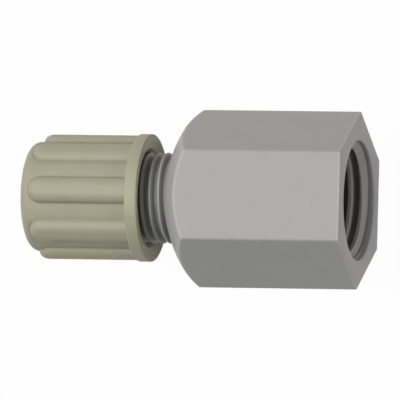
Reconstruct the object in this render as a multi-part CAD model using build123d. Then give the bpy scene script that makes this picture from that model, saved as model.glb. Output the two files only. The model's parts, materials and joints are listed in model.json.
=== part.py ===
from build123d import *
from math import radians, tan
import os

# A straight hose fitting: a hexagon body with a female pipe thread at one end and
# a threaded neck at the other, where a fluted union nut closes a split ring on the hose.
# Millimetres. The axis is X and the origin is the centre of the female thread's mouth face.
# +X leaves that mouth. The fitting lies on one flat of its hexagon, with +Z up.

# Hexagon of the body
hex_across_flats = 17.0
hex_length = 20.7
hex_corner_radius = 0.2
mouth_edge_chamfer = 0.2
dome_radius = 14.7

# Female pipe thread, bored to its core, with a cone that leads the flow to the bore
pipe_core_diameter = 11.7
pipe_bore_depth = 11.0
mouth_countersink_diameter = 13.8
funnel_half_angle = 45.0
flow_bore_diameter = 2.8

# Threaded neck, with a socket for the hose and a cone that closes the ring
neck_diameter = 10.0
neck_thread_pitch = 1.0
neck_length = 7.6
neck_end_chamfer = 0.6
socket_depth = 4.4
ring_cone_half_angle = 30.0
neck_cone_mouth_diameter = 8.4

# Hose and the nipple that carries it
hose_outer_diameter = 6.0
hose_inner_diameter = 4.0
socket_hose_clearance = 0.25
nipple_length = 9.5
nipple_nose_chamfer = 0.3

# Union nut: a fluted sleeve with a plain rim at its mouth
nut_length = 13.65
nut_standoff = 2.75
nut_rim_diameter = 14.05
nut_rim_width = 1.4
nut_rim_edge_chamfer = 0.15
nut_groove_diameter = 12.05
nut_back_edge_radius = 1.0
nut_bore_depth = 7.5
nut_mouth_diameter = 11.5
nut_neck_clearance = 0.05
nut_chamber_diameter = 9.1
nut_chamber_length = 2.3
nut_hose_clearance = 0.25
nut_hole_chamfer = 0.3

# Grip ribs of the nut
rib_count = 8
rib_turn = -4.4
rib_top_diameter = 13.75
rib_width = 2.9
rib_shoulder_chamfer = 0.6
rib_shoulder_easing = 0.2
rib_back_margin = 1.05

# Split clamping ring inside the nut
ring_hose_clearance = 0.1
ring_radial_clearance = 0.1
ring_cone_gap = 0.1
ring_tip_wall = 0.4
ring_slit_width = 0.9
tightening_turns = 2.0
ring_seat_gap = 0.15

# Places along the axis, from the mouth face back to the hose end
neck_root_x = -hex_length
neck_end_x = neck_root_x - neck_length
socket_floor_x = neck_end_x + socket_depth
nipple_tip_x = socket_floor_x - nipple_length
nut_mouth_x = neck_root_x - nut_standoff
nut_back_x = nut_mouth_x - nut_length

# Radii that more than one piece needs
neck_radius = neck_diameter / 2
socket_radius = hose_outer_diameter / 2 + socket_hose_clearance
nipple_radius = hose_inner_diameter / 2
nut_hole_radius = hose_outer_diameter / 2 + nut_hose_clearance
ring_inner_radius = hose_outer_diameter / 2 + ring_hose_clearance


def cone_run(radius_step, half_angle):
    """Length along the axis in which a cone gains the given radius."""
    return radius_step / tan(radians(half_angle))


def turned(points):
    """Solid turned about the axis from a closed outline of (x, radius) points."""
    return revolve(make_face(Polyline(*points, close=True)), axis=Axis.X)


def rod(x_start, x_end, radius):
    """Plain cylinder on the axis between two places."""
    return turned([(x_start, 0), (x_start, radius), (x_end, radius), (x_end, 0)])


def hexagon_with_dome():
    """Hexagon bar whose back end is rounded off by a dome down to the neck."""
    outline = RegularPolygon(hex_across_flats / 2, 6, major_radius=False)
    outline = fillet(outline.vertices(), hex_corner_radius)
    bar = extrude(Plane.YZ * outline, amount=neck_end_x)
    mouth_edges = bar.faces().sort_by(Axis.X)[-1].edges()
    bar = chamfer(mouth_edges, mouth_edge_chamfer)
    dome_centre_x = neck_root_x + (dome_radius**2 - neck_radius**2) ** 0.5
    dome = Pos(dome_centre_x, 0, 0) * Sphere(dome_radius)
    return bar & (dome + rod(dome_centre_x, dome_radius, dome_radius))


def hose_socket():
    """Hollow of the neck's end: a cone that closes the ring, then the hose's seat."""
    cone_mouth_radius = neck_cone_mouth_diameter / 2
    cone_depth = cone_run(cone_mouth_radius - socket_radius, ring_cone_half_angle)
    return turned([
        (neck_end_x, 0),
        (neck_end_x, cone_mouth_radius),
        (neck_end_x + cone_depth, socket_radius),
        (socket_floor_x, socket_radius),
        (socket_floor_x, 0),
    ])


def pipe_bore():
    """Countersunk core hole of the pipe thread, and the cone behind it."""
    core_radius = pipe_core_diameter / 2
    sink_radius = mouth_countersink_diameter / 2
    flow_radius = flow_bore_diameter / 2
    funnel_run = cone_run(core_radius - flow_radius, funnel_half_angle)
    return turned([
        (0, 0),
        (0, sink_radius),
        (core_radius - sink_radius, core_radius),
        (-pipe_bore_depth, core_radius),
        (-pipe_bore_depth - funnel_run, flow_radius),
        (-pipe_bore_depth - funnel_run, 0),
    ])


def make_body():
    """Hexagon, neck and nipple, moulded in one piece."""
    neck = turned([
        (-pipe_bore_depth, 0),
        (-pipe_bore_depth, neck_radius),
        (neck_end_x + neck_end_chamfer, neck_radius),
        (neck_end_x, neck_radius - neck_end_chamfer),
        (neck_end_x, 0),
    ])
    nipple = rod(socket_floor_x, nipple_tip_x, nipple_radius)
    nipple = chamfer(nipple.edges().group_by(Axis.X)[0], nipple_nose_chamfer)
    body = hexagon_with_dome() + neck - hose_socket() + nipple
    return body - pipe_bore() - rod(0, nipple_tip_x, flow_bore_diameter / 2)


def rib_section():
    """Half of a rib's section, foot to crown, drawn on the plane across the axis."""
    half_width = rib_width / 2
    crown_radius = rib_top_diameter / 2
    foot = nut_groove_diameter / 2 - nut_back_edge_radius
    side = Pos(half_width / 2, foot + crown_radius / 2) * Rectangle(half_width, crown_radius)
    section = side & Circle(crown_radius)
    shoulder = section.vertices().group_by(Axis.X)[-1].sort_by(Axis.Y)[-1]
    section = chamfer(shoulder, rib_shoulder_chamfer)
    # the chamfer's own two corners are eased, so that the shoulder reads as round
    corners = section.vertices().sort_by(Axis.Y)[-3:].sort_by(Axis.X)[-2:]
    return chamfer(corners, rib_shoulder_easing)


def grip_rib():
    """One rib on top of the nut: a straight bar that ends in a half-round nose."""
    round_x = nut_back_x + rib_back_margin + rib_width / 2
    front_x = nut_mouth_x - nut_rim_width / 2
    half = Plane.YZ * rib_section()
    bar = extrude(Pos(round_x, 0, 0) * half, amount=front_x - round_x)
    bar += mirror(bar, about=Plane.XZ)
    nose_axis = Axis((round_x, 0, 0), (0, 0, 1))
    nose = revolve(Pos(round_x, 0, 0) * half, axis=nose_axis, revolution_arc=180)
    return bar + nose


def nut_shell():
    """Outside of the nut as a solid blank: grooved length, rim and ribs."""
    groove_radius = nut_groove_diameter / 2
    sleeve = rod(nut_back_x, nut_mouth_x, groove_radius)
    sleeve = fillet(sleeve.edges().group_by(Axis.X)[0], nut_back_edge_radius)
    rim = rod(nut_mouth_x - nut_rim_width, nut_mouth_x, nut_rim_diameter / 2)
    rim = chamfer(rim.edges().filter_by(GeomType.CIRCLE), nut_rim_edge_chamfer)
    ribs = [
        Rot(X=rib_turn + 360 / rib_count * number) * grip_rib()
        for number in range(rib_count)
    ]
    return sleeve + rim + ribs


def nut_hollow():
    """Inside of the nut, from its countersunk thread bore to the hose hole."""
    bore_radius = neck_radius + nut_neck_clearance
    sink_radius = nut_mouth_diameter / 2
    chamber_radius = nut_chamber_diameter / 2
    step_x = nut_mouth_x - nut_bore_depth
    cone_x = step_x - nut_chamber_length
    hole_x = cone_x - cone_run(chamber_radius - nut_hole_radius, ring_cone_half_angle)
    return turned([
        (nut_mouth_x, 0),
        (nut_mouth_x, sink_radius),
        (nut_mouth_x - sink_radius + bore_radius, bore_radius),
        (step_x, bore_radius),
        (step_x, chamber_radius),
        (cone_x, chamber_radius),
        (hole_x, nut_hole_radius),
        (nut_back_x + nut_hole_chamfer, nut_hole_radius),
        (nut_back_x, nut_hole_radius + nut_hole_chamfer),
        (nut_back_x, 0),
    ])


def make_union_nut():
    """Fluted nut that screws on the neck and pushes the ring home."""
    return nut_shell() - nut_hollow()


def make_clamping_ring():
    """Split ring with a cone at each end, one for the nut and one for the neck."""
    outer_radius = nut_chamber_diameter / 2 - ring_radial_clearance
    tip_radius = ring_inner_radius + ring_tip_wall
    full_step = outer_radius - tip_radius
    # where the ring's front tip meets the neck's cone once the nut is tight
    travel = tightening_turns * neck_thread_pitch
    cone_mouth_radius = neck_cone_mouth_diameter / 2
    tip_reach = cone_run(cone_mouth_radius - tip_radius, ring_cone_half_angle)
    front_x = neck_end_x + tip_reach - ring_seat_gap - travel
    # its back cone follows the cone of the nut
    chamber_end_x = nut_mouth_x - nut_bore_depth - nut_chamber_length
    back_x = chamber_end_x - cone_run(full_step, ring_cone_half_angle) + ring_cone_gap
    ring = turned([
        (front_x, ring_inner_radius),
        (front_x, tip_radius),
        (front_x - cone_run(full_step, ring_cone_half_angle), outer_radius),
        (chamber_end_x + ring_cone_gap, outer_radius),
        (back_x, tip_radius),
        (back_x, ring_inner_radius),
    ])
    slit = Box(abs(back_x) + abs(front_x), ring_slit_width, outer_radius)
    return ring - Pos((front_x + back_x) / 2, 0, outer_radius / 2) * slit


pieces = {
    "body": make_body(),
    "union_nut": make_union_nut(),
    "clamping_ring": make_clamping_ring(),
}
os.makedirs("parts", exist_ok=True)
for name, piece in pieces.items():
    export_step(piece, f"parts/{name}.step")
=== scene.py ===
# %% [markdown]
# # A screw-in hose fitting, in cells
# The real object is a small plumbing part in three mouldings: a grey body with a
# hexagon and a female pipe thread, an olive union nut with eight grip ribs, and a
# white split ring inside the nut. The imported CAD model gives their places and
# their fits. This lesson dresses it: it cuts the three threads, softens every
# edge as a mould does, and gives each plastic its own skin.
# The frame is loaded first, because every later size is read against it.

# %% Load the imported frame
import json
from math import acos, ceil, cos, degrees, hypot, pi, radians, sin, sqrt, tan

import bmesh
import bpy
from mathutils import Matrix, Vector

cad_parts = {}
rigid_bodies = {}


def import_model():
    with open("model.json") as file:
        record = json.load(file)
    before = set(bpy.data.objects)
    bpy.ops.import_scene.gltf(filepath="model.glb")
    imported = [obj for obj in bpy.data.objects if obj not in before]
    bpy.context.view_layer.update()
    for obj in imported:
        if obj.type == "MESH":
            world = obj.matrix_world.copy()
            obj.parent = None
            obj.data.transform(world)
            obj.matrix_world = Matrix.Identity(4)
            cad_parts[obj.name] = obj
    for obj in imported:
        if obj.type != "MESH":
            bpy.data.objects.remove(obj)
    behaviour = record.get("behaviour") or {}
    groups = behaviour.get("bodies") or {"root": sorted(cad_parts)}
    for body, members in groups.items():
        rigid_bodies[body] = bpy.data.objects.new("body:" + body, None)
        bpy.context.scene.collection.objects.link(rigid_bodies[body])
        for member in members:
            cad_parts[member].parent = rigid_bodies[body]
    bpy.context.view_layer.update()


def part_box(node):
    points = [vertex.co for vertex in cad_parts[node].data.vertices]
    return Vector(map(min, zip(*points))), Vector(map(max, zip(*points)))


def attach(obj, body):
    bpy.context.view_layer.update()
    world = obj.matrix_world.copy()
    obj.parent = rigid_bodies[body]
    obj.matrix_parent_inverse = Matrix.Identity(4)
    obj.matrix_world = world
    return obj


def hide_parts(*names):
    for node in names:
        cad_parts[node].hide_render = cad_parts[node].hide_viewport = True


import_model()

MM = 0.001


def in_mm(point, digits=2):
    """A point of the scene, which is in metres, as rounded millimetres to print."""
    return tuple(round(c / MM, digits) for c in point)


# %% [markdown]
# ## Sizes
# The solids know the fitting's main sizes. Those that more than one piece needs
# are named here once, in millimetres. A name that ends in x is a place along the
# axis, the others are radii and lengths. The boxes of the CAD nodes are printed
# beside them, so that a size that no longer fits the part is seen at once.

# %% Sizes that the pieces share
flats = 17.0
mouth_x = 0.0
dome_radius = 14.7

neck_root_x = -20.7
neck_end_x = -28.3
neck_crest = 5.0
neck_root = 4.45
neck_pitch = 1.0
dome_centre_x = neck_root_x + sqrt(dome_radius**2 - neck_crest**2)

pipe_core = 5.85
flow_radius = 1.4

nut_mouth_x = -23.45
nut_back_x = -37.1
nut_rim = 7.025
nut_groove = 6.025
rim_back_x = -24.85

rib_count = 8
rib_crown = 6.875
rib_half = 1.45
rib_round_x = nut_back_x + 1.05 + rib_half
rib_turn = radians(-4.4)

for node in ("body", "union_nut", "clamping_ring"):
    low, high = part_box(node)
    print(node, in_mm(low), in_mm(high))

# %% [markdown]
# ## Camera
# The photograph was taken from far away with a long lens: the hexagon's edges
# run nearly parallel. Three small turns and a distance of 1.7 m were fitted to
# the outline, and a very long lens then fills the frame as the photograph does.

# %% Camera at the photograph's viewing angle
turn_x, turn_y, turn_z = radians(-3.077), radians(-15.24), radians(-0.731)
camera_shift = Vector((17.422, -0.067, 0))
camera_distance = 1700.0
pixels_per_focal = 15511.0
frame_pixels = 400
sensor = 36.0
clip_near, clip_far = 0.05, 20


def add_object(name, data):
    """New object in the scene, at the origin, unturned and unscaled."""
    item = bpy.data.objects.new(name, data)
    bpy.context.scene.collection.objects.link(item)
    return item


turn = (
    Matrix.Rotation(turn_z, 3, "Z")
    @ Matrix.Rotation(turn_y, 3, "Y")
    @ Matrix.Rotation(turn_x, 3, "X")
)
stand = turn.transposed() @ (Vector((0, 0, camera_distance)) - camera_shift) * MM
camera_data = bpy.data.cameras.new("camera")
camera_data.lens = pixels_per_focal / frame_pixels * sensor
camera_data.sensor_width = sensor
camera_data.clip_start = clip_near
camera_data.clip_end = clip_far
camera = add_object("camera", camera_data)
camera.matrix_world = Matrix.Translation(stand) @ turn.transposed().to_4x4()
bpy.context.scene.camera = camera
print("camera at", [round(c, 3) for c in stand], "lens", round(camera_data.lens, 1))

# %% [markdown]
# ## One small class for node maths
# Shaders and Geometry Nodes share their Math nodes. Wrapping a socket in a class
# with Python's operators lets both be written as plain expressions, and one
# method makes every other node.

# %% Node maths as Python expressions


class Value:
    """A node's output that Python's operators turn into Math nodes."""

    def __init__(self, graph, socket):
        self.graph = graph
        self.socket = socket

    def out(self, key):
        """Another output of the same node, by name or number."""
        return Value(self.graph, self.socket.node.outputs[key])

    def __add__(self, other):
        return self.graph.math("ADD", self, other)

    def __radd__(self, other):
        return self.graph.math("ADD", other, self)

    def __sub__(self, other):
        return self.graph.math("SUBTRACT", self, other)

    def __rsub__(self, other):
        return self.graph.math("SUBTRACT", other, self)

    def __mul__(self, other):
        return self.graph.math("MULTIPLY", self, other)

    def __rmul__(self, other):
        return self.graph.math("MULTIPLY", other, self)

    def __truediv__(self, other):
        return self.graph.math("DIVIDE", self, other)

    def __rtruediv__(self, other):
        return self.graph.math("DIVIDE", other, self)


class Graph:
    """A node tree with one method for its nodes."""

    def __init__(self, tree):
        self.tree = tree

    def node(self, kind, inputs=None, out=0, **settings):
        """Adds a node: its settings first, then the values or links of its sockets."""
        node = self.tree.nodes.new(kind)
        for name, setting in settings.items():
            setattr(node, name, setting)
        for key, value in (inputs or {}).items():
            if isinstance(value, Value):
                self.tree.links.new(value.socket, node.inputs[key])
            else:
                node.inputs[key].default_value = value
        return Value(self, node.outputs[out]) if node.outputs else node

    def math(self, operation, *values, clamp=False):
        """One Math node on numbers or sockets."""
        return self.node(
            "ShaderNodeMath", dict(enumerate(values)), operation=operation, use_clamp=clamp
        )


print("node maths ready")

# %% [markdown]
# ## Painted light and shade by place
# The tones laid on here are painted light and shade, not the plastic's own colour.
# On the body the neck's grooves and the bore are deepened with painted shade,
# because the photograph shows them nearly black within two turns, darker than
# light alone leaves them, and the edges of its flats get a painted highlight.
# On the nut a fine line of painted shade follows the foot of each rib and of the
# rim, in the crease, while the rim's round and the face of the mouth get painted
# light. An image could hold all this, but it would need a flat map of every
# piece. A rule on the place needs only the distance from the axis and the place
# along it.

# %% Helpers for painted light and shade by place


def ramp(graph, value, low, high, start=0.0, end=1.0):
    """Smooth step of a value in millimetres between two places."""
    return graph.node(
        "ShaderNodeMapRange",
        {"Value": value, "From Min": low, "From Max": high, "To Min": start, "To Max": end},
        interpolation_type="SMOOTHSTEP",
    )


def about_axis(graph, place):
    """A place in millimetres as x, y, z and its distance from the axis."""
    spot = graph.node("ShaderNodeSeparateXYZ", {0: place})
    x, y, z = (spot.out(axis) / MM for axis in range(3))
    return x, y, z, graph.math("SQRT", y * y + z * z)


print("shade helpers ready")

# %% Painted light and shade of the body
neck_groove_painted_shade = 0.64
bore_painted_shade = 0.55
bore_groove_painted_shade = 0.25
edge_painted_highlight = 0.16
bore_reach, bore_back_x = 6.75, -18.0
bore_pale_x, bore_dark_x = -2.7, -3.6
groove_pale_x, groove_dark_x = -1.0, -1.35


def body_painted_light(graph, place):
    """Painted shade in the body's neck grooves and bore, a painted highlight on its hexagon's
    edges.
    """
    x, y, z, radius = about_axis(graph, place)
    # painted shade in the grooves of the neck's thread
    neck = ramp(graph, radius, neck_root + 0.15, neck_crest - 0.07, neck_groove_painted_shade, 1.0)
    # painted shade deep in the bore and in the grooves of its thread
    inside = graph.math("LESS_THAN", radius, bore_reach)
    in_bore = inside * graph.math("GREATER_THAN", x, bore_back_x)
    deep = ramp(graph, x, bore_dark_x, bore_pale_x, bore_painted_shade, 0.0)
    groove = ramp(graph, x, groove_dark_x, groove_pale_x, bore_groove_painted_shade, 0.0)
    groove = groove * ramp(graph, radius, pipe_core + 0.05, pipe_core + 0.55)
    bore = 1.0 - in_bore * graph.math("MAXIMUM", deep, groove)
    # distance from the axis, measured square to the flat that is nearest
    up, across = graph.math("ABSOLUTE", z), graph.math("ABSOLUTE", y)
    flat = graph.math("MAXIMUM", up, up * sin(pi / 6) + across * cos(pi / 6))
    from_dome = x - dome_centre_x
    reach = graph.math("SQRT", from_dome * from_dome + radius * radius)
    dome_edge = ramp(graph, reach, dome_radius - 0.3, dome_radius - 0.1)
    mouth_edge = ramp(graph, x, mouth_x - 0.3, mouth_x - 0.12)
    near_edge = graph.math("MAXIMUM", dome_edge, mouth_edge)
    # painted highlight along the rounded edges of the flats, at the dome and at the mouth
    pale = near_edge * ramp(graph, flat, flats / 2 - 0.2, flats / 2 - 0.04) * edge_painted_highlight
    return neck * bore * (1.0 + pale)


print("body: bore darker by", bore_painted_shade, "edges paler by", edge_painted_highlight)

# %% Painted light and shade of the nut
rib_foot_painted_shade = 0.17
rim_foot_painted_shade = 0.14
rim_painted_light = 0.05
mouth_painted_light = 0.4


def nut_painted_light(graph, place):
    """Painted shade at the feet of the nut's ribs and rim, painted light on its rim and mouth."""
    x, y, z, radius = about_axis(graph, place)
    # painted shade in the crease round the foot of each rib
    half_share = pi / rib_count
    angle = graph.math("ARCTAN2", z, y) - rib_turn
    angle = graph.math("WRAP", angle, half_share, -half_share)
    aside = radius * graph.math("SINE", angle)
    behind = graph.math("MINIMUM", x - rib_round_x, 0.0)
    off_side = graph.math("SQRT", aside * aside + behind * behind) - (rib_half + 0.04)
    rib_foot = ramp(graph, graph.math("ABSOLUTE", off_side), 0.17, 0.04)
    # painted shade in the crease at the foot of the rim
    rim_foot = ramp(graph, x, rim_back_x - 0.35, rim_back_x - 0.1)
    below_ribs = ramp(graph, radius, nut_groove + 0.425, nut_groove + 0.125)
    above_hollow = ramp(graph, radius, nut_groove - 0.275, nut_groove - 0.075)
    outside = below_ribs * above_hollow * graph.math("LESS_THAN", x, rim_back_x + 0.25)
    dark = outside * graph.math("MAXIMUM", rib_foot * rib_foot_painted_shade, rim_foot * rim_foot_painted_shade)
    # painted light on the rim's round
    rim = ramp(graph, radius, nut_rim - 0.125, nut_rim - 0.025) * rim_painted_light
    # painted light on the ringed face of the mouth
    inside_rim = ramp(graph, radius, nut_rim - 0.175, nut_rim - 0.325)
    mouth = inside_rim * ramp(graph, x, nut_mouth_x - 0.75, nut_mouth_x - 0.35) * mouth_painted_light
    return 1.0 - dark + rim + mouth


print("nut: rib feet darker by", rib_foot_painted_shade, "mouth paler by", mouth_painted_light)

# %% [markdown]
# ## Plastics
# The real pieces are injection-moulded plastic. Such a skin is satin: it
# scatters most of its light, holds a broad weak highlight, and is never quite
# even, because the mould's sand-blasted face prints a fine grain and the colour
# flows in faint clouds. Fine noise in the bump gives the grain, wide noise in
# the colour gives the clouds, and the roughness follows both a little.

# %% Moulded plastic
cloud_scale, cloud_depth = 420.0, 0.14
fleck_scale = 4100.0
grain_scale, grain_height, grain_strength = 8200.0, 0.008, 0.35
plastic_ior = 1.49
plastic_sheen = 0.4


def noise(graph, place, scale, detail):
    """Noise about 0.5 at a scale in cycles to the metre."""
    return graph.node(
        "ShaderNodeTexNoise",
        {"Vector": place, "Scale": scale, "Detail": detail, "Roughness": 0.6},
    )


def plastic(name, colour, rough=0.5, fleck=0.05, painted_light=None):
    """Satin moulded plastic of one colour, with mould grain, faint flow clouds and, where given,
    painted light and shade.
    """
    material = bpy.data.materials.new(name)
    material.use_nodes = True
    material.node_tree.nodes.clear()
    graph = Graph(material.node_tree)
    place = graph.node("ShaderNodeTexCoord").out("Object")
    clouds = noise(graph, place, cloud_scale, 3.0)
    flecks = noise(graph, place, fleck_scale, 2.0)
    grain = noise(graph, place, grain_scale, 3.0)
    shade = 1.0 + (clouds - 0.5) * cloud_depth + (flecks - 0.5) * fleck
    # painted light and shade by place, multiplied into the base colour
    if painted_light:
        shade = shade * painted_light(graph, place)
    paint = graph.node("ShaderNodeVectorMath", {0: colour, "Scale": shade}, operation="SCALE")
    bump = graph.node(
        "ShaderNodeBump",
        {"Height": grain, "Distance": grain_height * MM, "Strength": grain_strength},
    )
    shader = graph.node("ShaderNodeBsdfPrincipled", {
        "Base Color": paint,
        "Roughness": rough + (clouds - 0.5) * 0.12 + (grain - 0.5) * 0.1,
        "Normal": bump,
        "IOR": plastic_ior,
        "Specular IOR Level": plastic_sheen,
    })
    graph.node("ShaderNodeOutputMaterial", {"Surface": shader})
    print("plastic", name, colour)
    return material


grey_plastic = plastic("satin grey", (0.42, 0.42, 0.41), painted_light=body_painted_light)
olive_plastic = plastic("satin olive", (0.435, 0.425, 0.31), fleck=0.16, painted_light=nut_painted_light)
natural_plastic = plastic("natural white", (0.78, 0.78, 0.74), rough=0.42)

# %% [markdown]
# ## Turned forms
# Mouth, neck, nipple, sleeve and ring are all round about one axis. A Screw
# modifier could turn them, but one helper that turns a closed outline about X
# can also round its corners: each may carry a radius, because a moulded edge is
# never sharp. Doubles are merged before the faces are turned outwards, so every
# seam and pole is closed.

# %% Rounded outlines
arc_step = 15.0


def soften(outline):
    """Closed outline of (x, r) or (x, r, radius) corners, the radii drawn as short arcs."""
    smooth = []
    for number, corner in enumerate(outline):
        x, r = corner[:2]
        radius = corner[2] if len(corner) > 2 else 0
        if not radius:
            smooth.append((x, r))
            continue
        here = Vector((x, r))
        before = (Vector(outline[number - 1][:2]) - here).normalized()
        after = (Vector(outline[(number + 1) % len(outline)][:2]) - here).normalized()
        opening = acos(max(-1, min(1, before.dot(after))))
        reach = radius / tan(opening / 2)
        middle = (before + after).normalized() * (radius / sin(opening / 2)) + here
        start = here + before * reach - middle
        sweep = pi - opening
        side = 1 if start.cross(here + after * reach - middle) > 0 else -1
        pieces = max(2, ceil(degrees(sweep) / arc_step))
        for step in range(pieces + 1):
            angle = side * sweep * step / pieces
            arm = Matrix.Rotation(angle, 2) @ start
            smooth.append(tuple(middle + arm))
    return smooth


sample = soften([(0, 0), (0, 9), (9, 9, 1), (9, 0)])
print("a square corner is drawn with", len(sample) - 3, "points")

# %% Turned solids
columns = 160
merge_distance = 1e-7
sliver = 1e-8


def face_outwards(solid):
    """Drops slivers from a closed bmesh and turns its faces outwards."""
    bmesh.ops.dissolve_degenerate(solid, edges=solid.edges, dist=sliver)
    bmesh.ops.recalc_face_normals(solid, faces=solid.faces)
    if solid.calc_volume(signed=True) < 0:
        bmesh.ops.reverse_faces(solid, faces=solid.faces)


def closed_object(name, points, faces):
    """Mesh object from millimetre points: doubles merged, faces turned outwards."""
    mesh = bpy.data.meshes.new(name)
    mesh.from_pydata([[c * MM for c in point] for point in points], [], faces)
    solid = bmesh.new()
    solid.from_mesh(mesh)
    bmesh.ops.remove_doubles(solid, verts=solid.verts, dist=merge_distance)
    face_outwards(solid)
    solid.to_mesh(mesh)
    solid.free()
    return add_object(name, mesh)


def turned(name, outline):
    """Solid of revolution about X from a closed outline."""
    outline = soften(outline)
    points = []
    for column in range(columns):
        angle = 2 * pi * column / columns
        points += [(x, r * cos(angle), r * sin(angle)) for x, r in outline]
    size = len(outline)
    faces = []
    for column in range(columns):
        here = column * size
        beside = (column + 1) % columns * size
        for row in range(size):
            up = (row + 1) % size
            faces.append((here + row, here + up, beside + up, beside + row))
    return closed_object(name, points, faces)


print("turned solids have", columns, "columns")

# %% [markdown]
# ## Joining and cutting
# A real mould is cut by tools that leave solid forms, and a boolean does the
# same. A last helper turns every face outwards and counts open edges, which
# must be none.

# %% Booleans that settle


def settle(piece):
    """Applies what the modifiers make, as a plain mesh, and removes them."""
    seen = piece.evaluated_get(bpy.context.evaluated_depsgraph_get())
    mesh = bpy.data.meshes.new_from_object(seen)
    mesh.name = piece.name
    piece.modifiers.clear()
    piece.data = mesh


def combine(piece, other, operation):
    """Exact union, difference or intersection of two solids. The second is used up."""
    cut = piece.modifiers.new("combine", "BOOLEAN")
    cut.operation = operation
    cut.solver = "MANIFOLD"
    cut.object = other
    settle(piece)
    bpy.data.objects.remove(other)


def close_up(piece):
    """Turns the faces of a closed mesh outwards and counts what is still open."""
    solid = bmesh.new()
    solid.from_mesh(piece.data)
    face_outwards(solid)
    open_edges = sum(not edge.is_manifold for edge in solid.edges)
    solid.to_mesh(piece.data)
    solid.free()
    print(piece.name, "faces", len(piece.data.polygons), "open edges", open_edges)


print("booleans ready")

# %% [markdown]
# ## One tree for three threads
# All three threads of the fitting follow one rule: a ridge climbs one pitch with
# each turn. A Geometry Nodes tree writes that rule down once. It bends a flat
# grid round the axis, lets its rows climb with the helix, so that crests and
# flanks lie along rows of faces, and stops them at the two ends. Its inputs are
# the sizes that a thread has on a drawing. The result is a closed threaded rod:
# the neck is cut from it, and the nut and the pipe mouth are cut by it.

# %% The thread tree


def add_inputs(tree, inputs):
    """Declares a modifier tree's own inputs and its geometry output."""
    tree.interface.new_socket("Geometry", in_out="OUTPUT", socket_type="NodeSocketGeometry")
    for name, (kind, value) in inputs.items():
        socket = tree.interface.new_socket(name, in_out="INPUT", socket_type=kind)
        if value is not None:
            socket.default_value = value


def finish_tree(graph, geometry, material):
    """Ends a tree with real meshes in their material."""
    real = graph.node("GeometryNodeRealizeInstances", {"Geometry": geometry})
    skinned = graph.node("GeometryNodeSetMaterial", {"Geometry": real, "Material": material})
    graph.node("NodeGroupOutput", {0: skinned})


def thread_tree():
    """Tree that makes a closed threaded rod about X, in millimetres of its inputs."""
    tree = bpy.data.node_groups.new("screw thread", "GeometryNodeTree")
    number = "NodeSocketFloat"
    add_inputs(tree, {
        "Start": (number, 0.0),
        "End": (number, 10.0),
        "Pitch": (number, 1.0),
        "Crest radius": (number, 5.0),
        "Root radius": (number, 4.4),
        "Crest width": (number, 0.15),
        "Root width": (number, 0.2),
        "Crest place": (number, 0.0),
        "Roundness": (number, 0.5),
        "Columns": ("NodeSocketInt", columns),
        "Rows per turn": ("NodeSocketInt", 16),
        "Material": ("NodeSocketMaterial", None),
    })
    graph = Graph(tree)
    given = graph.node("NodeGroupInput").out
    pitch, start, end = given("Pitch"), given("Start"), given("End")
    turns = graph.math("CEIL", (end - start) / pitch) + 1.0
    rows = turns * given("Rows per turn") + 3.0
    grid = graph.node("GeometryNodeMeshGrid", {
        "Size X": 1.0, "Size Y": 1.0, "Vertices X": given("Columns") + 1.0, "Vertices Y": rows,
    })
    spot = graph.node("ShaderNodeSeparateXYZ", {0: graph.node("GeometryNodeInputPosition")})
    spin = spot + 0.5
    row = (spot.out(1) + 0.5) * (rows - 1.0)
    # the first and the last row close the ends, so they share their neighbour's place
    climb = graph.math("MINIMUM", graph.math("MAXIMUM", row - 1.0, 0.0), rows - 3.0)
    climb = climb / given("Rows per turn") + spin - 1.0
    place = graph.math("MAXIMUM", start + climb * pitch, start)
    place = graph.math("MINIMUM", place, end)
    phase = (place - given("Crest place")) / pitch - spin
    # distance from the nearest crest, 0 on it and 0.5 in the middle of the groove
    away = graph.math("ABSOLUTE", phase - graph.math("ROUND", phase))
    crest_half = given("Crest width") / pitch * 0.5
    root_half = given("Root width") / pitch * 0.5
    slope = graph.math("DIVIDE", away - crest_half, 0.5 - crest_half - root_half, clamp=True)
    rounded = slope * slope * (3.0 - 2.0 * slope)
    slope = slope + (rounded - slope) * given("Roundness")
    radius = given("Crest radius") - (given("Crest radius") - given("Root radius")) * slope
    first_row = graph.math("COMPARE", row, 0.0, 0.25)
    last_row = graph.math("COMPARE", row, rows - 1.0, 0.25)
    radius = radius * (1.0 - (first_row + last_row)) * MM
    angle = spin * (2 * pi)
    spread = graph.node("ShaderNodeCombineXYZ", {
        0: place * MM,
        1: radius * graph.math("COSINE", angle),
        2: radius * graph.math("SINE", angle),
    })
    bent = graph.node("GeometryNodeSetPosition", {"Geometry": grid, "Position": spread})
    merged = graph.node(
        "GeometryNodeMergeByDistance", {"Geometry": bent, "Distance": merge_distance}
    )
    finish_tree(graph, merged, given("Material"))
    return tree


screw_thread = thread_tree()
print(screw_thread.name, "has", len(screw_thread.nodes), "nodes")

# %% Threaded rods


def run_tree(piece, tree, values):
    """Hangs a tree on an object, sets its inputs by identifier and settles it."""
    modifier = piece.modifiers.new(tree.name, "NODES")
    modifier.node_group = tree
    for item in tree.interface.items_tree:
        if item.item_type == "SOCKET" and item.in_out == "INPUT" and item.name in values:
            modifier[item.identifier] = values[item.name]
    settle(piece)


def threaded_rod(name, material, **sizes):
    """Closed threaded rod from the thread tree, its inputs named as on a drawing."""
    rod = add_object(name, bpy.data.meshes.new(name))
    values = {key.replace("_", " ").capitalize(): size for key, size in sizes.items()}
    values["Material"] = material
    run_tree(rod, screw_thread, values)
    close_up(rod)
    return rod


print("threaded rods ready")

# %% [markdown]
# ## The hexagon and its dome
# The body's spanner part is a long hexagon that ends in a dome, and where the
# dome leaves a flat the mould has a small radius that catches the light. A
# boolean of prism and sphere leaves no place for that radius, so the outside is
# laid as a grid: columns round the outline, rows along each column's profile,
# with the arcs of mouth edge and dome edge worked out for each column.

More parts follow.
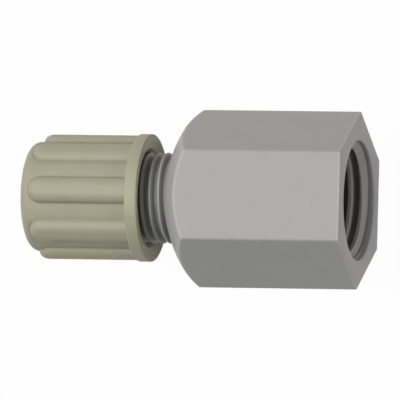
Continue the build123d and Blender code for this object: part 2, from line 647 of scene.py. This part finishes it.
# %% Outline and profile of the hexagon
corner_round, corner_steps = 0.35, 6
mouth_round, mouth_steps = 0.1, 5
edge_round, edge_steps = 0.26, 6
flat_steps = 26
dome_steps = 30


def hexagon_columns():
    """Points (y, z) round a hexagon with rounded corners, the foot of each column."""
    ring = []
    corner_centre = (flats / 2 - corner_round) / cos(pi / 6)
    half_flat = corner_centre * sin(pi / 6)
    for side in range(6):
        corner = pi / 3 * side
        for step in range(corner_steps + 1):
            lean = corner - pi / 6 + pi / 3 * step / corner_steps
            y = corner_centre * cos(corner) + corner_round * cos(lean)
            z = corner_centre * sin(corner) + corner_round * sin(lean)
            ring.append((y, z))
        normal = corner + pi / 6
        for step in range(1, flat_steps):
            along = -half_flat + 2 * half_flat * step / flat_steps
            y = flats / 2 * cos(normal) - along * sin(normal)
            z = flats / 2 * sin(normal) + along * cos(normal)
            ring.append((y, z))
    return ring


def column_profile(radius):
    """Rows of one column, from the mouth's middle to the neck's root, as (x, r)."""
    rows = [(mouth_x, 0)]
    for step in range(mouth_steps + 1):
        angle = pi / 2 * step / mouth_steps
        rows.append((
            mouth_x - mouth_round * (1 - cos(angle)),
            radius - mouth_round * (1 - sin(angle)),
        ))
    edge_x = dome_centre_x - sqrt((dome_radius - edge_round)**2 - (radius - edge_round)**2)
    lift = Vector((edge_x - dome_centre_x, radius - edge_round)).normalized()
    lean = acos(lift.y)
    for step in range(edge_steps + 1):
        angle = lean * step / edge_steps
        rows.append((edge_x - edge_round * sin(angle), radius - edge_round * (1 - cos(angle))))
    last = acos(neck_crest / dome_radius)
    for step in range(1, dome_steps + 1):
        angle = lean + (last - lean) * step / dome_steps
        rows.append((dome_centre_x - dome_radius * sin(angle), dome_radius * cos(angle)))
    rows.append((neck_root_x, 0))
    return rows


print("columns", len(hexagon_columns()), "rows", len(column_profile(flats / 2)))

# %% Hexagon with its dome


def hexagon_block():
    """Closed block of hexagon and dome."""
    points, faces = [], []
    ring = hexagon_columns()
    for y, z in ring:
        radius = hypot(y, z)
        for x, r in column_profile(radius):
            points.append((x, y / radius * r, z / radius * r))
    size = len(points) // len(ring)
    for column in range(len(ring)):
        here = column * size
        beside = (column + 1) % len(ring) * size
        for row in range(size - 1):
            faces.append((here + row, here + row + 1, beside + row + 1, beside + row))
    return closed_object("body_moulding", points, faces)


body = hexagon_block()
body.data.materials.append(grey_plastic)
print("hexagon block", len(body.data.polygons), "faces")

# %% [markdown]
# ## The threaded neck
# The neck is a threaded rod cut to length by a plain turned form with the
# chamfer of its end, which is how such a thread is cut by hand too. It joins the
# dome, then the hose's socket is bored and the nipple is put back inside it. The
# place of the crests comes from the photograph, and neck and nut share it, so
# that their ridges mesh.

# %% Neck, socket and nipple
crest_seen_x = -21.48
union_thread = {
    "pitch": neck_pitch, "crest_place": crest_seen_x - neck_pitch / 4, "roundness": 0.2,
}
neck_rod = threaded_rod(
    "neck_thread", grey_plastic, start=neck_end_x - 0.3, end=neck_root_x + 1.3,
    crest_radius=neck_crest, root_radius=neck_root, crest_width=0.18, root_width=0.16,
    rows_per_turn=25, **union_thread,
)
blank, chamfer_x, end_radius, in_hexagon_x = 5.3, -27.4, 4.4, -19.1
neck_form = turned("neck_form", [
    (in_hexagon_x, 0), (in_hexagon_x, blank), (chamfer_x, blank),
    (neck_end_x, end_radius, 0.1), (neck_end_x, 0),
])
combine(neck_rod, neck_form, "INTERSECT")
combine(body, neck_rod, "UNION")

socket_radius, socket_floor_x = 3.25, -23.9
cone_mouth, cone_floor_x = 4.2, -26.655
past_end_x, cutter_radius = neck_end_x - 0.9, 4.7
socket_form = turned("socket_form", [
    (past_end_x, 0), (past_end_x, cutter_radius), (neck_end_x - 0.3, cutter_radius),
    (neck_end_x, cone_mouth), (cone_floor_x, socket_radius, 0.2),
    (socket_floor_x, socket_radius, 0.2), (socket_floor_x, 0),
])
combine(body, socket_form, "DIFFERENCE")

nipple_radius, nipple_tip_x = 2.0, -33.4
nipple_foot_x = socket_floor_x + 0.7
nipple = turned("nipple", [
    (nipple_foot_x, 0), (nipple_foot_x, nipple_radius),
    (nipple_tip_x, nipple_radius, 0.25), (nipple_tip_x, 0),
])
combine(body, nipple, "UNION")
print("body with neck", len(body.data.polygons), "faces")

# %% [markdown]
# ## The female pipe thread
# The pipe side is a G 1/4 thread, 19 threads to the inch at 55 degrees, with a
# countersunk lip. Its rod stands for the pipe that would screw in, and it is
# joined with the core hole, the cone and the flow bore before one cut is made.

# %% Pipe thread and waterway
pipe_pitch = 1.337
pipe_rod = threaded_rod(
    "pipe_thread", grey_plastic, start=-9.8, end=0.4, pitch=pipe_pitch,
    crest_radius=6.57, root_radius=5.86, crest_width=0.2, root_width=0.36,
    crest_place=-0.28, rows_per_turn=25,
)
lip_radius, lip_end_x, sink_end_x = 6.58, -0.6, -1.2
bore_floor_x, funnel_end_x = -11.0, -15.45
past_mouth_x, past_nipple_x, clear_of_face = 0.5, -33.8, 0.004
waterway = turned("waterway", [
    (past_mouth_x, 0), (past_mouth_x, 7.3), (clear_of_face, 7.3),
    (clear_of_face, lip_radius, 0.2), (lip_end_x, lip_radius - 0.06),
    (sink_end_x, pipe_core), (bore_floor_x, pipe_core, 0.25),
    (funnel_end_x, flow_radius, 0.25), (past_nipple_x, flow_radius), (past_nipple_x, 0),
])
combine(pipe_rod, waterway, "UNION")
combine(body, pipe_rod, "DIFFERENCE")
print("body bored", len(body.data.polygons), "faces")

# %% [markdown]
# ## The union nut
# The nut is one turned sleeve with a rim, and eight ribs that end in a half-round
# nose. The sleeve is turned with its inside, and the thread is cut as the pipe's
# was, a little wider than the neck's ridge, so that the two run free. The cutter
# of the mouth carries three fine steps, because the photograph shows fine rings
# on the mouth's face.

# %% Sleeve of the nut
thread_floor_x = -30.95
chamber, chamber_end_x, cone_end_x = 4.55, -33.25, -35.502
hose_hole, hole_chamfer, hole_round = 3.25, 0.3, 0.1
rim_round, back_round = 0.16, 1.0
nut = turned("union_nut_moulding", [
    (nut_mouth_x, chamber), (nut_mouth_x, nut_rim, rim_round), (rim_back_x, nut_rim, rim_round),
    (rim_back_x, nut_groove, rim_round), (nut_back_x, nut_groove, back_round),
    (nut_back_x, hose_hole + hole_chamfer, hole_round),
    (nut_back_x + hole_chamfer, hose_hole, hole_round),
    (cone_end_x, hose_hole, 0.2), (chamber_end_x, chamber), (thread_floor_x, chamber),
])
nut.data.materials.append(olive_plastic)
print("sleeve", len(nut.data.polygons), "faces")

# %% Thread and mouth of the nut
nut_rod = threaded_rod(
    "nut_thread", olive_plastic, start=thread_floor_x, end=nut_mouth_x + 0.3,
    crest_radius=neck_crest + 0.05, root_radius=chamber + 0.01, crest_width=0.24,
    root_width=0.18, **union_thread,
)
first_x, first_r = nut_mouth_x - 0.05, 6.34
step_x, step_r = 0.06, 0.28
ring_count = 3
fine_rings = []
for number in range(ring_count):
    ring_x, ring_r = first_x - step_x * number, first_r - step_r * number
    fine_rings += [(ring_x, ring_r), (ring_x - 0.07, ring_r - 0.08)]
before_x, inside_x = nut_mouth_x + 0.5, nut_mouth_x - 1.3
mouth_form = turned("mouth_form", [
    (before_x, 0), (before_x, 6.85), (nut_mouth_x + 0.25, 6.85), (nut_mouth_x - 0.06, 6.54),
    *fine_rings, (first_x - step_x * ring_count, first_r - step_r * ring_count),
    (-24.13, 5.05), (inside_x, 4.4), (inside_x, 0),
])
combine(nut_rod, mouth_form, "UNION")
print("nut's cutter", len(nut_rod.data.polygons), "faces")

# %% [markdown]
# ## Eight grip ribs
# One rib is laid as a grid: rows follow its plan, straight, round the nose and
# straight back, and the section climbs from a small foot radius over the flank
# and the shoulder to a crown that follows the nut's round. A bevelled block
# would give a sharper foot and a flat crown.

# %% One rib
rib_front_x, rib_middle_x = nut_mouth_x - 0.7, -26.0
rib_shoulder, rib_drop, shoulder_steps = 1.05, 0.78, 10
rib_foot, foot_steps = 0.07, 6
rib_skirt, foot_sink, flank = 0.4, 0.012, 0.04
nose_steps = 20


def rib_section():
    """Section of the rib as (inset from its side, height over the base, base radius)."""
    rows = [(-rib_foot, -rib_skirt, nut_groove)]
    for step in range(foot_steps + 1):
        angle = pi / 2 * step / foot_steps
        rise = rib_foot * (1 - cos(angle))
        rows.append((-rib_foot * (1 - sin(angle)), rise - foot_sink, nut_groove))
    for step in range(shoulder_steps + 1):
        angle = pi / 2 * step / shoulder_steps
        drop = rib_drop * (1 - sin(angle))
        rows.append((flank + rib_shoulder * (1 - cos(angle)), -drop, rib_crown))
    crown_inset = rib_shoulder + flank
    for share in (0.35, 0.7, 1.0):
        rows.append((crown_inset + (rib_half - crown_inset) * share, 0, rib_crown))
    return rows


def rib_plan():
    """Stations round the rib's plan: (x of the station's centre, angle of its side)."""
    nose = [(rib_round_x, pi * step / nose_steps) for step in range(nose_steps + 1)]
    return [(rib_front_x, 0), (rib_middle_x, 0), *nose, (rib_middle_x, pi), (rib_front_x, pi)]


def grip_rib():
    """Closed rib on top of the nut."""
    points, faces = [], []
    section, plan = rib_section(), rib_plan()
    for centre_x, angle in plan:
        for inset, height, base in section:
            out = rib_half - inset
            y = out * cos(angle)
            points.append((centre_x - out * sin(angle), y, sqrt(base**2 - y**2) + height))
    size = len(section)
    for station in range(len(plan) - 1):
        for row in range(size - 1):
            here = station * size + row
            faces.append((here, here + 1, here + size + 1, here + size))
    rib = closed_object("rib", points, faces)
    solid = bmesh.new()
    solid.from_mesh(rib.data)
    bmesh.ops.holes_fill(solid, edges=[edge for edge in solid.edges if edge.is_boundary])
    solid.to_mesh(rib.data)
    solid.free()
    close_up(rib)
    return rib


rib = grip_rib()
print("rib from", rib_front_x, "to", round(rib_round_x - rib_half, 2))

# %% [markdown]
# ## The ring of ribs
# The mould repeats one rib eight times round the nut. Eight copies made by hand
# would do, but the number and the turn are a rule, so a second tree sets the
# copies on the ring and turns each one about the axis.

# %% The rib ring tree


def ring_tree():
    """Tree that sets copies of one object round the X axis."""
    tree = bpy.data.node_groups.new("rib ring", "GeometryNodeTree")
    add_inputs(tree, {
        "Rib": ("NodeSocketObject", None),
        "Count": ("NodeSocketInt", rib_count),
        "First angle": ("NodeSocketFloat", 0.0),
        "Material": ("NodeSocketMaterial", None),
    })
    graph = Graph(tree)
    given = graph.node("NodeGroupInput").out
    points = graph.node("GeometryNodePoints", {"Count": given("Count")})
    index = graph.node("GeometryNodeInputIndex")
    angle = index * (2 * pi) / given("Count") + given("First angle")
    spin = graph.node("ShaderNodeCombineXYZ", {0: angle})
    rib_mesh = graph.node("GeometryNodeObjectInfo", {"Object": given("Rib")}, out="Geometry")
    placed = graph.node(
        "GeometryNodeInstanceOnPoints", {"Points": points, "Instance": rib_mesh, "Rotation": spin}
    )
    finish_tree(graph, placed, given("Material"))
    return tree


ribs = add_object("ribs", bpy.data.meshes.new("ribs"))
run_tree(ribs, ring_tree(), {
    "Rib": rib, "Count": rib_count, "First angle": rib_turn, "Material": olive_plastic,
})
bpy.data.objects.remove(rib)
combine(nut, ribs, "UNION")
combine(nut, nut_rod, "DIFFERENCE")
print("nut", len(nut.data.polygons), "faces")

# %% [markdown]
# ## The split ring
# The ring sits in the nut's chamber and closes on the hose when its two cones
# are pushed together. It is turned like the rest and slit on its upper side. Its
# place is read from the CAD node, because nothing of it shows in the photograph.

# %% Clamping ring
low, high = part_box("clamping_ring")
ring_back_x, ring_front_x = low[0] / MM, high[0] / MM
ring_outer, ring_tip, ring_inner = 4.45, 3.5, 3.1
inner_round, tip_round, cone_round = 0.06, 0.08, 0.2
cone_length = (ring_outer - ring_tip) / tan(radians(30))
ring = turned("clamping_ring_moulding", [
    (ring_front_x, ring_inner, inner_round), (ring_front_x, ring_tip, tip_round),
    (ring_front_x - cone_length, ring_outer, cone_round),
    (ring_back_x + cone_length, ring_outer, cone_round),
    (ring_back_x, ring_tip, tip_round), (ring_back_x, ring_inner, inner_round),
])
ring.data.materials.append(natural_plastic)
slit_half = 0.45
slit = closed_object("slit", [
    (x, y, z) for x in (-37, -25) for y in (-slit_half, slit_half) for z in (0, 6)
], [(0, 1, 3, 2), (4, 6, 7, 5), (0, 4, 5, 1), (2, 3, 7, 6), (0, 2, 6, 4), (1, 5, 7, 3)])
combine(ring, slit, "DIFFERENCE")
print("ring from", round(ring_back_x, 3), "to", round(ring_front_x, 3))
print("ring", len(ring.data.polygons), "faces")

# %% [markdown]
# ## Shading and the ride
# Each moulding is smooth where it is round and crisp where it is folded. Large
# flat faces keep their own normal, so a spanner flat stays a plain even tone
# right up to its rounded edge. Then each piece stands for its CAD node and
# rides on the same body.

# %% Smooth the round, keep the flat
crease = 32.0
flat_area = 1e-6


def shade(piece):
    """Smooth shading with creases by angle, and with every large flat face kept flat."""
    mesh = piece.data
    mesh.set_sharp_from_angle(angle=radians(crease))
    for face in mesh.polygons:
        if face.area > flat_area:
            for corner in face.loop_indices:
                mesh.edges[mesh.loops[corner].edge_index].use_edge_sharp = True


for piece, node, skin, slot in (
    (body, "body", grey_plastic, "body_grey"),
    (nut, "union_nut", olive_plastic, "nut_olive"),
    (ring, "clamping_ring", natural_plastic, "ring_natural"),
):
    piece.data.materials.clear()
    piece.data.materials.append(skin)
    for face in piece.data.polygons:
        face.material_index = 0
    close_up(piece)
    shade(piece)
    triangles = sum(len(face.vertices) - 2 for face in piece.data.polygons)
    print(piece.name, "triangles", triangles)
    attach(piece, node)
    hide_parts(node)

# %% [markdown]
# ## Floor
# The photograph is a plain catalogue picture on white. The floor is a pale
# sheet that the camera sees as white, with only the object's soft shadow left in
# it. To the light it is a mid grey, so that it throws no more light on the
# object's underside than the photograph shows.

# %% Floor
floor_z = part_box("body")[0][2]
floor_half = 2.0
paper_grey = 0.35
paper_white = 1.02
white_share = 0.96
floor_mesh = bpy.data.meshes.new("floor")
floor_mesh.from_pydata(
    [(x, y, floor_z) for x, y in (
        (-floor_half, -floor_half), (floor_half, -floor_half),
        (floor_half, floor_half), (-floor_half, floor_half),
    )],
    [], [(0, 1, 2, 3)],
)
floor = add_object("floor", floor_mesh)
paper = bpy.data.materials.new("floor_paper")
paper.use_nodes = True
paper.node_tree.nodes.clear()
graph = Graph(paper.node_tree)
rays = graph.node("ShaderNodeLightPath").out
seen = graph.math("MAXIMUM", rays("Is Camera Ray"), rays("Is Glossy Ray"))
seen = graph.math("MAXIMUM", seen, rays("Is Transmission Ray"))
matte = graph.node("ShaderNodeBsdfDiffuse", {"Color": (paper_grey, paper_grey, paper_grey, 1)})
white = graph.node("ShaderNodeEmission", {"Color": (1, 1, 1, 1), "Strength": paper_white})
sheet = graph.node("ShaderNodeMixShader", {0: seen * white_share, 1: matte, 2: white})
graph.node("ShaderNodeOutputMaterial", {"Surface": sheet})
floor.data.materials.append(paper)
print("floor at", round(floor_z / MM, 2), "mm")

# %% [markdown]
# ## Sky and lamps
# The photograph looks as if it was taken in a light tent: its shadows are soft
# and every flat has its own even grey. One lamp would leave hard shadows in the
# grooves. Three broad suns over a weak even sky do better: a key from the upper
# left, a fill from the picture's top edge and a low fill from the right. Their
# levels were worked out from the greys that the flats, the dome and the ribs
# have in the photograph. The camera sees the sky as white.

# %% Sky
sky_level = 0.17
world = bpy.data.worlds.new("sky")
bpy.context.scene.world = world
world.use_nodes = True
world.node_tree.nodes.clear()
graph = Graph(world.node_tree)
straight = graph.node("ShaderNodeLightPath").out("Is Camera Ray")
sky = graph.node("ShaderNodeBackground", {
    "Color": (1, 1, 1, 1), "Strength": sky_level + straight * (1 - sky_level),
})
graph.node("ShaderNodeOutputWorld", {"Surface": sky})
print("sky at", sky_level)

# %% Three broad suns
lamp_breadth = radians(30)


def sun(name, direction, energy, colour):
    """Broad sun that shines from a direction."""
    lamp = bpy.data.lights.new(name, "SUN")
    lamp.energy = energy
    lamp.color = colour
    lamp.angle = lamp_breadth
    holder = add_object(name, lamp)
    holder.matrix_world = Vector(direction).to_track_quat("Z", "Y").to_matrix().to_4x4()
    print(name, "from", direction, "energy", energy)


sun("key from the upper left", (-0.4, 0, 0.92), 1.64, (0.995, 1, 1))
sun("left fill from the top edge", (-0.6, 0.5, 0.63), 0.78, (1, 0.95, 0.86))
sun("low fill from the right", (1, 0, 0.42), 0.8, (1, 0.955, 0.91))
bpy.context.scene.view_settings.view_transform = "Standard"
